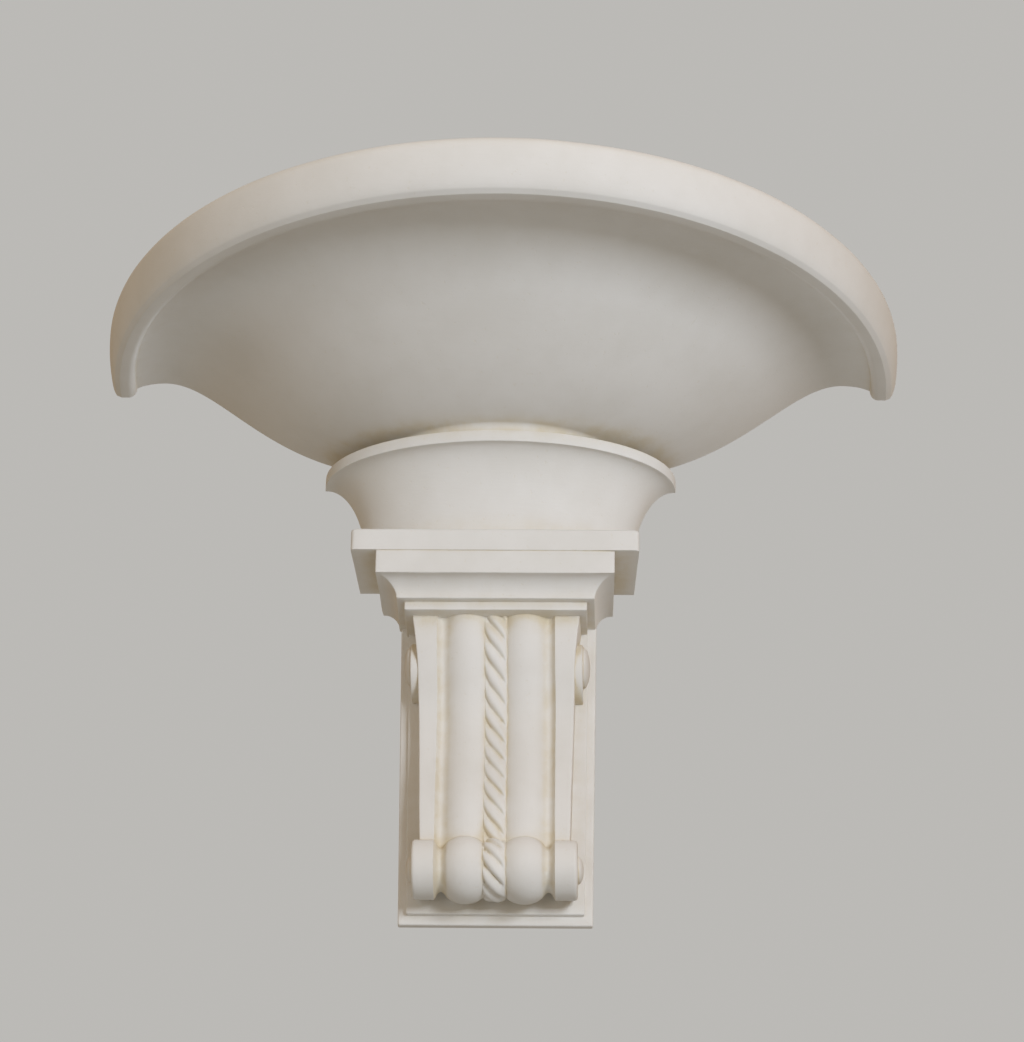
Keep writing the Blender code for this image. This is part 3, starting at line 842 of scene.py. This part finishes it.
bowl = bmesh.new()
bmesh.ops.create_grid(bowl, x_segments=half_round_steps, y_segments=len(bowl_rows) - 1, size=0.5)
ends = {}
for vert in bowl.verts:
    column = round((vert.co.x + 0.5) * half_round_steps)
    row = round((vert.co.y + 0.5) * (len(bowl_rows) - 1))
    vert.co = bowl_place(column, row)
    if column in (0, half_round_steps):
        ends[column > 0, row] = vert
rungs = [bowl.edges.new((ends[False, row], ends[True, row]))
         for row in (0, outer_rows - 1, outer_rows, len(bowl_rows) - 1)]
open_edges = [edge for edge in bowl.edges if edge.is_boundary]
end_rows = {vert: row for (_, row), vert in ends.items()}


def cap(first_row, last_row, closing):
    """Closes the bowl's flat back between two rows of its open ends."""
    edges = [edge for edge in open_edges
             if all(first_row <= end_rows.get(vert, -1) <= last_row for vert in edge.verts)]
    bmesh.ops.contextual_create(bowl, geom=edges + closing)


cap(0, outer_rows - 1, rungs[0:2])
cap(outer_rows - 1, outer_rows, rungs[1:3])
cap(outer_rows, len(bowl_rows) - 1, rungs[2:4])
for rung, height in ((rungs[0], bowl_base), (rungs[3], floor_height)):
    ring = [edge for edge in open_edges if all(abs(vert.co.z - height) < weld for vert in edge.verts)]
    bmesh.ops.contextual_create(bowl, geom=ring + [rung])
hand_worked(bowl, swell=0.45 * mm, spread=120 * mm)
bowl_plaster = cast_plaster("half_bowl_plaster", along_the_wall, tone=0.985, crease_and_shade_amount=0.8, brush=1.2)
plaster_piece("half_bowl", bowl, "half_bowl", bowl_plaster, sharp=40.0)

# The studio: a plain pale floor far below, a pale warm room, soft lamps and the low camera.
# The key light stands to the right; weaker ones stand at the left, above and behind.

aim = Vector((0.0, -0.09, 0.12))


def soft_lamp(name, place, width, height, watts, colour):
    lamp = bpy.data.lights.new(name, "AREA")
    lamp.shape = "RECTANGLE"
    lamp.size = width
    lamp.size_y = height
    lamp.energy = watts
    lamp.color = colour
    holder = bpy.data.objects.new(name, lamp)
    holder.location = place
    holder.rotation_euler = (aim - Vector(place)).to_track_quat("-Z", "Y").to_euler()
    holder.visible_camera = False
    bpy.context.scene.collection.objects.link(holder)


soft_lamp("key_lamp", (1.8, -3.2, 0.2), 1.2, 1.2, 81.0, (0.833, 0.911, 1.0))
soft_lamp("left_lamp", (-1.5, -3.2, -0.9), 1.5, 1.5, 13.0, (0.80, 0.92, 1.0))
soft_lamp("side_lamp", (-2.6, -1.6, 1.4), 1.4, 1.4, 12.0, (0.72, 0.88, 1.0))
soft_lamp("top_lamp", (0.0, -0.9, 2.4), 1.6, 1.6, 11.0, (0.80, 0.92, 1.0))
soft_lamp("back_lamp", (0.4, 3.2, 0.5), 1.5, 1.5, 48.0, (0.82, 0.91, 1.0))

floor_drop = 2.3
floor_reach = 9.0
floor_colour = (0.60, 0.68, 0.76, 1.0)
room_colour = (0.292, 0.160, 0.030, 1.0)
backdrop_colour = (0.50, 0.49, 0.47, 1.0)
floor_bm = bmesh.new()
bmesh.ops.create_grid(floor_bm, x_segments=1, y_segments=1, size=floor_reach)
bmesh.ops.translate(floor_bm, verts=floor_bm.verts[:], vec=(0, 0, -floor_drop))
floor_mesh = bpy.data.meshes.new("studio_floor")
floor_bm.to_mesh(floor_mesh)
floor_bm.free()
floor = bpy.data.objects.new("studio_floor", floor_mesh)
bpy.context.scene.collection.objects.link(floor)
floor_finish = Finish("studio_floor")
floor_finish.shader.inputs["Base Color"].default_value = floor_colour
floor_finish.shader.inputs["Roughness"].default_value = 0.9
floor_mesh.materials.append(floor_finish.material)

room = bpy.data.worlds.new("room")
room.use_nodes = True
room_nodes = room.node_tree.nodes
room_light = room_nodes["Background"]
room_light.inputs["Color"].default_value = room_colour
room_sight = room_nodes.new("ShaderNodeBackground")
room_sight.inputs["Color"].default_value = backdrop_colour
room_mix = room_nodes.new("ShaderNodeMixShader")
room_links = room.node_tree.links
room_links.new(room_nodes.new("ShaderNodeLightPath").outputs["Is Camera Ray"], room_mix.inputs[0])
room_links.new(room_light.outputs[0], room_mix.inputs[1])
room_links.new(room_sight.outputs[0], room_mix.inputs[2])
room_links.new(room_mix.outputs[0], room_nodes["World Output"].inputs["Surface"])
bpy.context.scene.world = room
bpy.context.scene.view_settings.view_transform = "Standard"

camera_place = Vector((0.0789, -2.9401, -1.3812))
camera_pitch = math.radians(28.50)
camera_yaw = math.radians(-1.37)
camera_roll = math.radians(0.91)
frame_height_px = 1042
focal_px = 4394.7
forward = Vector((math.sin(camera_yaw) * math.cos(camera_pitch),
                  math.cos(camera_yaw) * math.cos(camera_pitch), math.sin(camera_pitch)))
level_right = Vector((math.cos(camera_yaw), -math.sin(camera_yaw), 0.0))
level_up = level_right.cross(forward)
right = level_right * math.cos(camera_roll) + level_up * math.sin(camera_roll)
up = level_up * math.cos(camera_roll) - level_right * math.sin(camera_roll)
lens = bpy.data.cameras.new("camera")
lens.sensor_width = 36.0
lens.lens = focal_px * lens.sensor_width / frame_height_px
lens.clip_start = 0.05
lens.clip_end = 60.0
camera = bpy.data.objects.new("camera", lens)
camera.matrix_world = Matrix.Translation(camera_place) @ Matrix((right, up, -forward)).transposed().to_4x4()
bpy.context.scene.collection.objects.link(camera)
bpy.context.scene.camera = camera
